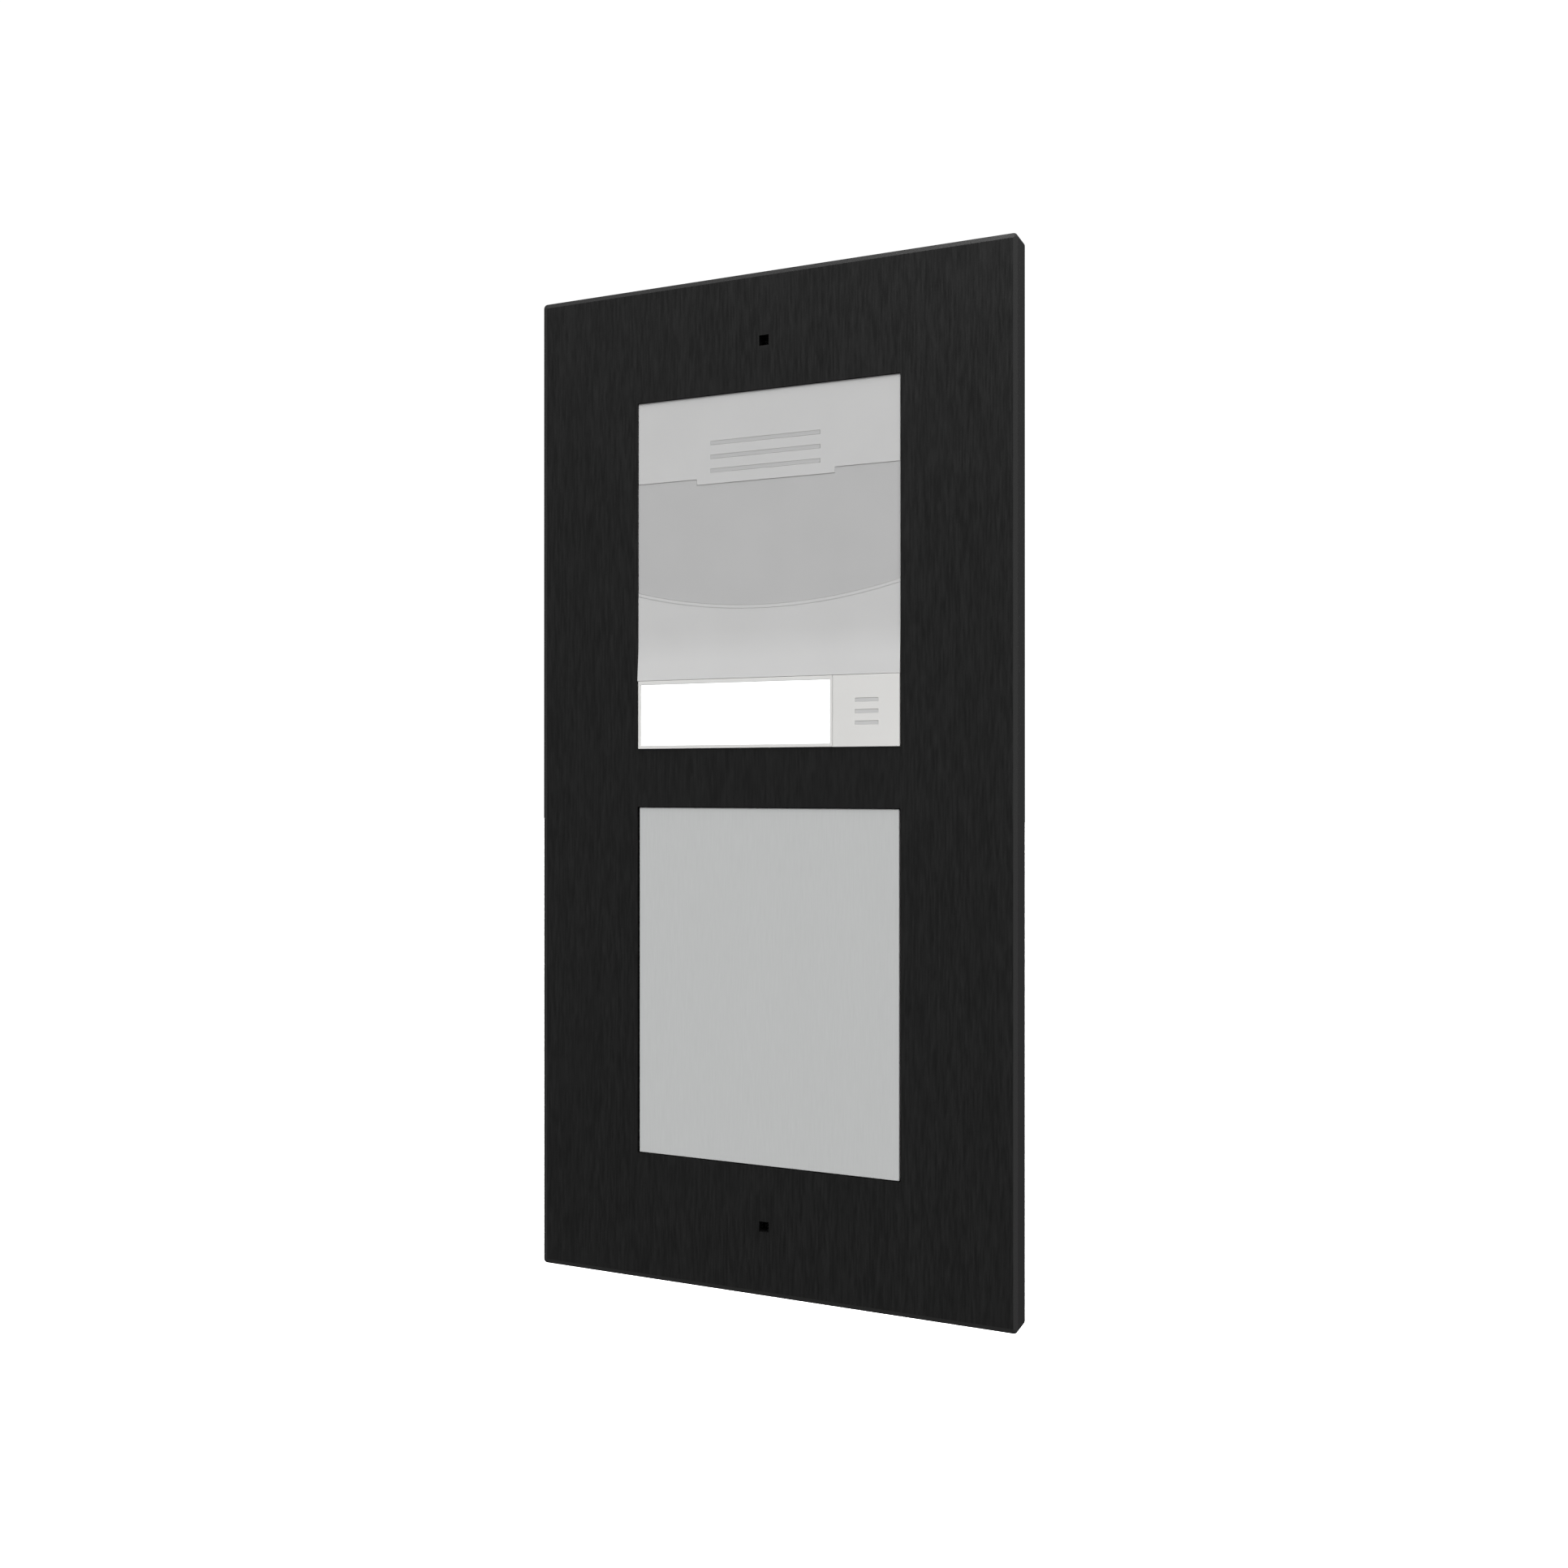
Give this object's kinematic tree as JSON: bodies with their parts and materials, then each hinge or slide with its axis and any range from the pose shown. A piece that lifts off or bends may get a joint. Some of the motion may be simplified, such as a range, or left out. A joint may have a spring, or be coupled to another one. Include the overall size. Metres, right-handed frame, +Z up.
{
  "type": "door intercom panel",
  "caption": "Tall dark wall plate on an in-wall box, holding a grey audio door station with lit call key and name label, and a brushed blank module.",
  "frame": {"origin": "centre of the in-wall box's rear face, level with the middle of the front plate", "axes": "+Z up, +X to the right seen from the front, the front faces -Y and +Y goes into the wall"},
  "size_m": [0.17, 0.0542, 0.336],
  "materials": {
    "frame_black": "black anodised aluminium with a fine vertical brushed grain",
    "steel": "zinc-plated sheet steel",
    "screw_steel": "zinc-plated screws",
    "spring_wire": "bright spring wire",
    "seal_foam": "black closed-cell foam rubber",
    "box_plastic": "grey moulded plastic",
    "brass_insert": "turned brass",
    "dark_plastic": "dark moulded plastic",
    "light_cover": "light grey satin plastic",
    "mid_grey": "mid grey satin plastic",
    "strip_grey": "pale grey satin plastic",
    "clear_window": "clear polycarbonate",
    "label_paper": "blank white card",
    "light_guide": "frosted clear acrylic",
    "membrane": "thin woven sound membrane",
    "cone_paper": "pressed speaker-cone paper",
    "aluminium_can": "drawn aluminium",
    "board_green": "green solder-masked glass-fibre board",
    "led_white": "white light-emitting diodes",
    "trimmer_blue": "blue trimmer bodies",
    "trimmer_cream": "cream trimmer rotors",
    "terminal_green": "green terminal block",
    "blank_metal": "silver anodised, fine vertical brushed grain"
  },
  "bodies": {
    "panel": {"front_frame": "frame_black", "plate_catches": "steel", "plate_studs": "steel", "wall_gasket": "seal_foam", "window_seal_upper": "seal_foam", "window_seal_lower": "seal_foam", "chassis": "steel", "chassis_screws": "screw_steel", "module_screws": "screw_steel", "flush_box": "box_plastic", "box_inserts": "brass_insert", "conduit_plug": "box_plastic", "latch_guides": "dark_plastic", "latch_spring_upper": "spring_wire", "latch_spring_lower": "spring_wire", "audio_housing": "dark_plastic", "front_carrier": "dark_plastic", "speaker_cover": "light_cover", "centre_panel": "mid_grey", "lower_cover": "light_cover", "microphone_cover": "strip_grey", "microphone_screen": "light_cover", "key_springs": "spring_wire", "key_switch": "dark_plastic", "speaker_membrane": "membrane", "speaker_gasket": "seal_foam", "speaker_basket": "steel", "speaker_cone": "cone_paper", "speaker_magnet": "steel", "speaker_screws": "screw_steel", "microphone_boot": "seal_foam", "microphone_capsule": "aluminium_can", "main_board": "board_green", "board_screws": "screw_steel", "board_chips": "dark_plastic", "board_capacitors": "aluminium_can", "label_leds": "led_white", "trimmer_bodies": "trimmer_blue", "terminal_block": "terminal_green", "terminal_screws": "screw_steel", "blank_fascia": "blank_metal", "blank_carrier": "dark_plastic"},
    "call_key": {"key_tray": "strip_grey", "label_window": "clear_window", "name_label": "label_paper", "light_guide": "light_guide"},
    "switch_plunger": {"switch_plunger": "dark_plastic"},
    "speaker_trimmer": {"speaker_trimmer": "trimmer_cream"},
    "microphone_trimmer": {"microphone_trimmer": "trimmer_cream"},
    "latch_bolt_upper": {"latch_bolt_upper": "steel"},
    "latch_bolt_lower": {"latch_bolt_lower": "steel"}
  },
  "joints": [
    {"name": "call_button", "type": "slide", "parent": "panel", "child": "call_key", "axis": [0, 1, 0], "range_m": [0, 0.0008], "stiffness_N_per_m": 1200, "springref_m": -0.0012, "deforming": ["key_springs"]},
    {"name": "switch_travel", "type": "slide", "parent": "panel", "child": "switch_plunger", "axis": [0, 1, 0], "range_m": [0, 0.0009]},
    {"name": "speaker_volume", "type": "hinge", "parent": "panel", "child": "speaker_trimmer", "pos_m": [-0.027, -0.0368, 0.052], "axis": [0, 1, 0], "range_deg": [-135, 135]},
    {"name": "microphone_volume", "type": "hinge", "parent": "panel", "child": "microphone_trimmer", "pos_m": [-0.014, -0.0368, 0.052], "axis": [0, 1, 0], "range_deg": [-135, 135]},
    {"name": "upper_release", "type": "slide", "parent": "panel", "child": "latch_bolt_upper", "axis": [0, 0, -1], "range_m": [0, 0.003], "stiffness_N_per_m": 250, "springref_m": -0.002, "deforming": ["latch_spring_upper"]},
    {"name": "lower_release", "type": "slide", "parent": "panel", "child": "latch_bolt_lower", "axis": [0, 0, 1], "range_m": [0, 0.003], "stiffness_N_per_m": 250, "springref_m": -0.002, "deforming": ["latch_spring_lower"]}
  ],
  "couplings": [
    {"joint": "switch_travel", "follows": "call_button", "ratio": 1}
  ]
}
